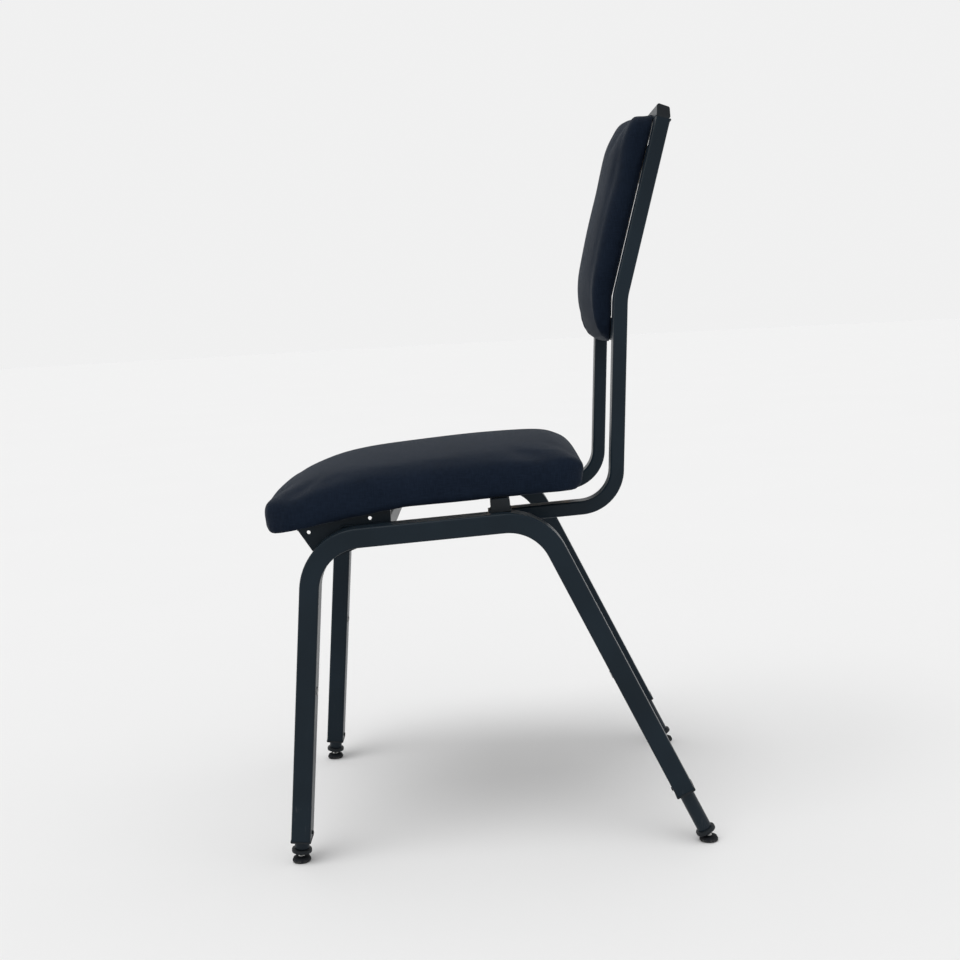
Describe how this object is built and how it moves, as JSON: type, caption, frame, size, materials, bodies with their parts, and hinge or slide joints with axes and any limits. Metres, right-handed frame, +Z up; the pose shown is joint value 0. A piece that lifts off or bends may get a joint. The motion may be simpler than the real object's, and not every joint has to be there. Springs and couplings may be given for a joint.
{
  "type": "chair with telescopic legs",
  "caption": "Armless choir chair with padded seat and back on bent rectangular tube, its legs telescopic, clamped by set screws and standing on tilting pads.",
  "frame": {"origin": "on the floor, midway between the front of the seat and the rear feet, on the plane of symmetry", "axes": "+X to the sitter's left, -Y the way the sitter faces, +Z up"},
  "size_m": [0.4572, 0.5636, 0.9426],
  "materials": {
    "frame_paint": "satin black powder coat",
    "inner_tube": "satin black powder coat",
    "fabric": "dark blue-black woven cloth",
    "plywood": "bent birch plywood",
    "pad_rubber": "matte",
    "black_plastic": "fine grain",
    "dark_fastener": "black zinc",
    "plain_steel": "turned"
  },
  "bodies": {
    "frame": {"back_board": "plywood", "back_cushion": "fabric", "back_lower_rail": "frame_paint", "back_run_caps": "black_plastic", "back_screws": "dark_fastener", "back_tee_nuts": "dark_fastener", "back_top_rail": "frame_paint", "back_tube_left": "frame_paint", "back_tube_right": "frame_paint", "back_upper_rail": "frame_paint", "carrier_bracket_left": "frame_paint", "carrier_bracket_right": "frame_paint", "clamp_inserts": "dark_fastener", "cross_tube_caps": "black_plastic", "front_cross_tube": "frame_paint", "guide_bush_front_left": "black_plastic", "guide_bush_front_right": "black_plastic", "guide_bush_rear_left": "black_plastic", "guide_bush_rear_right": "black_plastic", "rear_cross_tube": "frame_paint", "seat_board": "plywood", "seat_cushion": "fabric", "seat_screws": "dark_fastener", "seat_tee_nuts": "dark_fastener", "side_frame_left": "frame_paint", "side_frame_right": "frame_paint", "top_rail_caps": "black_plastic"},
    "leg_front_left": {"inner_leg_front_left": "inner_tube", "guide_block_front_left": "black_plastic", "foot_plug_front_left": "black_plastic", "ball_stud_front_left": "plain_steel"},
    "pad_front_left": {"foot_pad_front_left": "pad_rubber"},
    "clamp_front_left": {"clamp_screw_front_left": "dark_fastener"},
    "leg_front_right": {"inner_leg_front_right": "inner_tube", "guide_block_front_right": "black_plastic", "foot_plug_front_right": "black_plastic", "ball_stud_front_right": "plain_steel"},
    "pad_front_right": {"foot_pad_front_right": "pad_rubber"},
    "clamp_front_right": {"clamp_screw_front_right": "dark_fastener"},
    "leg_rear_left": {"inner_leg_rear_left": "inner_tube", "guide_block_rear_left": "black_plastic", "foot_plug_rear_left": "black_plastic", "ball_stud_rear_left": "plain_steel"},
    "pad_rear_left": {"foot_pad_rear_left": "pad_rubber"},
    "clamp_rear_left": {"clamp_screw_rear_left": "dark_fastener"},
    "leg_rear_right": {"inner_leg_rear_right": "inner_tube", "guide_block_rear_right": "black_plastic", "foot_plug_rear_right": "black_plastic", "ball_stud_rear_right": "plain_steel"},
    "pad_rear_right": {"foot_pad_rear_right": "pad_rubber"},
    "clamp_rear_right": {"clamp_screw_rear_right": "dark_fastener"}
  },
  "joints": [
    {"name": "leg_slide_front_left", "type": "slide", "parent": "frame", "child": "leg_front_left", "axis": [0, -0.0993, -0.9951], "range_m": [-0.011, 0.08]},
    {"name": "pad_tilt_front_left", "type": "hinge", "parent": "leg_front_left", "child": "pad_front_left", "pos_m": [0.209, -0.25655, 0.0065], "axis": [1, 0, 0], "range_deg": [-20, 20]},
    {"name": "clamp_turn_front_left", "type": "hinge", "parent": "frame", "child": "clamp_front_left", "pos_m": [0.209, -0.22219, 0.22487], "axis": [0, 0.9951, -0.0993], "range_deg": [0, 540]},
    {"name": "leg_slide_front_right", "type": "slide", "parent": "frame", "child": "leg_front_right", "axis": [0, -0.0993, -0.9951], "range_m": [-0.011, 0.08]},
    {"name": "pad_tilt_front_right", "type": "hinge", "parent": "leg_front_right", "child": "pad_front_right", "pos_m": [-0.209, -0.25655, 0.0065], "axis": [1, 0, 0], "range_deg": [-20, 20]},
    {"name": "clamp_turn_front_right", "type": "hinge", "parent": "frame", "child": "clamp_front_right", "pos_m": [-0.209, -0.22219, 0.22487], "axis": [0, 0.9951, -0.0993], "range_deg": [0, 540]},
    {"name": "leg_slide_rear_left", "type": "slide", "parent": "frame", "child": "leg_rear_left", "axis": [0, 0.4226, -0.9063], "range_m": [-0.055, 0.055]},
    {"name": "pad_tilt_rear_left", "type": "hinge", "parent": "leg_rear_left", "child": "pad_rear_left", "pos_m": [0.209, 0.27157, 0.0065], "axis": [1, 0, 0], "range_deg": [-7, 20]},
    {"name": "clamp_turn_rear_left", "type": "hinge", "parent": "frame", "child": "clamp_rear_left", "pos_m": [0.209, 0.15513, 0.22662], "axis": [0, -0.9063, -0.4226], "range_deg": [0, 540]},
    {"name": "leg_slide_rear_right", "type": "slide", "parent": "frame", "child": "leg_rear_right", "axis": [0, 0.4226, -0.9063], "range_m": [-0.055, 0.055]},
    {"name": "pad_tilt_rear_right", "type": "hinge", "parent": "leg_rear_right", "child": "pad_rear_right", "pos_m": [-0.209, 0.27157, 0.0065], "axis": [1, 0, 0], "range_deg": [-7, 20]},
    {"name": "clamp_turn_rear_right", "type": "hinge", "parent": "frame", "child": "clamp_rear_right", "pos_m": [-0.209, 0.15513, 0.22662], "axis": [0, -0.9063, -0.4226], "range_deg": [0, 540]}
  ]
}
